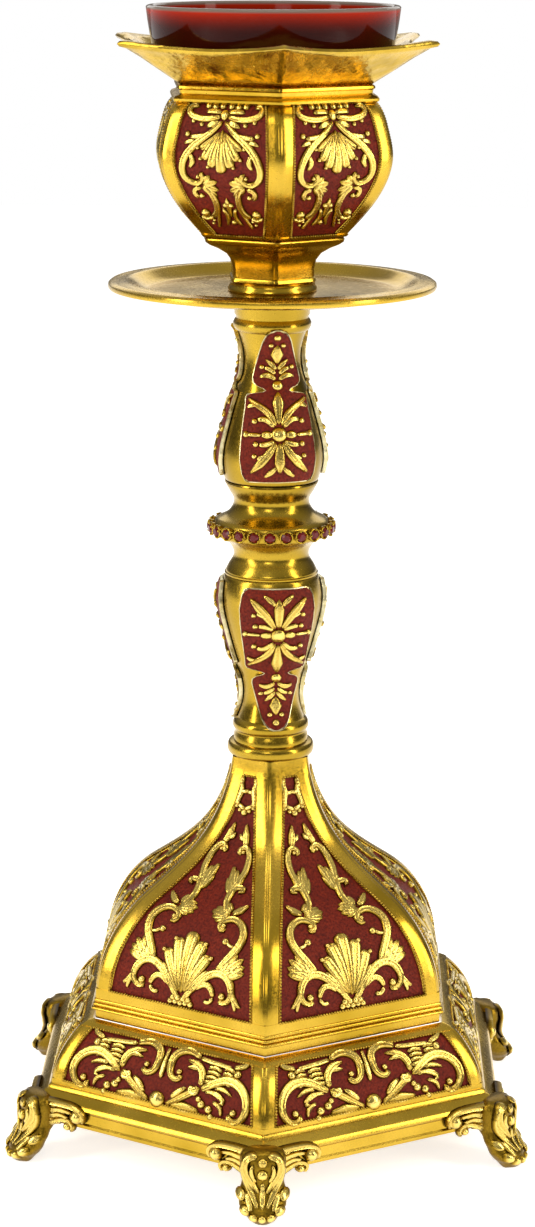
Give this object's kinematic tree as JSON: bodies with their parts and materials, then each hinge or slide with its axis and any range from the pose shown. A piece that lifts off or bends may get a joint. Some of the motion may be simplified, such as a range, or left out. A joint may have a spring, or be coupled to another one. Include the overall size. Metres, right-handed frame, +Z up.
{
  "type": "altar votive lamp",
  "caption": "Gilt, red-enamelled votive lamp: a lift-out red glass in a hexagonal bowl over a drip pan, on a baluster stem and an ogee hexagonal base with leaf-and-paw feet.",
  "frame": {"origin": "on the lamp's axis, on the surface that its six feet stand on", "axes": "+Z up the stem; a corner of the base, with its foot, points to -Y and another to +Y"},
  "size_m": [0.1732, 0.1928, 0.3688],
  "materials": {
    "polished_gilt_brass": "lacquered, bright, slightly uneven hand polish",
    "cast_gilt_brass": "cast, gilded, dark in the recesses",
    "relief_gilt_brass": "raised ornament, pale gilt on its tops",
    "red_enamel": "brick-red fired enamel, finely mottled, satin",
    "red_stone": "faceted, dark red",
    "red_glass": "thick moulded votive glass, dark ruby",
    "steel_fixings": "plain zinc-plated"
  },
  "bodies": {
    "stand": {"plinth_moulding": "polished_gilt_brass", "skirt_shell": "polished_gilt_brass", "dome_shell": "polished_gilt_brass", "reeded_band": "polished_gilt_brass", "base_collar": "polished_gilt_brass", "bowl_seat_ring": "polished_gilt_brass", "drip_pan": "polished_gilt_brass", "bowl_flare": "polished_gilt_brass", "bowl_body": "cast_gilt_brass", "bowl_foot": "cast_gilt_brass", "knop": "cast_gilt_brass", "lower_stem": "cast_gilt_brass", "upper_stem": "cast_gilt_brass", "foot_1": "cast_gilt_brass", "foot_2": "cast_gilt_brass", "foot_3": "cast_gilt_brass", "foot_4": "cast_gilt_brass", "foot_5": "cast_gilt_brass", "foot_6": "cast_gilt_brass", "skirt_filigree": "relief_gilt_brass", "dome_filigree": "relief_gilt_brass", "bowl_filigree": "relief_gilt_brass", "upper_plaque_ornaments": "relief_gilt_brass", "lower_plaque_ornaments": "relief_gilt_brass", "stone_collets": "relief_gilt_brass", "upper_plaque_1": "relief_gilt_brass", "upper_plaque_2": "relief_gilt_brass", "upper_plaque_3": "relief_gilt_brass", "lower_plaque_1": "relief_gilt_brass", "lower_plaque_2": "relief_gilt_brass", "lower_plaque_3": "relief_gilt_brass", "skirt_enamel_1": "red_enamel", "skirt_enamel_2": "red_enamel", "skirt_enamel_3": "red_enamel", "skirt_enamel_4": "red_enamel", "skirt_enamel_5": "red_enamel", "skirt_enamel_6": "red_enamel", "dome_enamel_1": "red_enamel", "dome_enamel_2": "red_enamel", "dome_enamel_3": "red_enamel", "dome_enamel_4": "red_enamel", "dome_enamel_5": "red_enamel", "dome_enamel_6": "red_enamel", "bowl_enamel_1": "red_enamel", "bowl_enamel_2": "red_enamel", "bowl_enamel_3": "red_enamel", "bowl_enamel_4": "red_enamel", "bowl_enamel_5": "red_enamel", "bowl_enamel_6": "red_enamel", "upper_plaque_enamel": "red_enamel", "lower_plaque_enamel": "red_enamel", "stones": "red_stone", "tie_rod": "steel_fixings", "base_nut": "steel_fixings", "base_washer": "steel_fixings", "bowl_nut": "steel_fixings", "foot_screws": "steel_fixings"},
    "glass": {"glass_cup": "red_glass"}
  },
  "joints": [
    {"name": "glass_lift", "type": "slide", "parent": "stand", "child": "glass", "axis": [0, 0, 1], "range_m": [0, 0.08]}
  ]
}
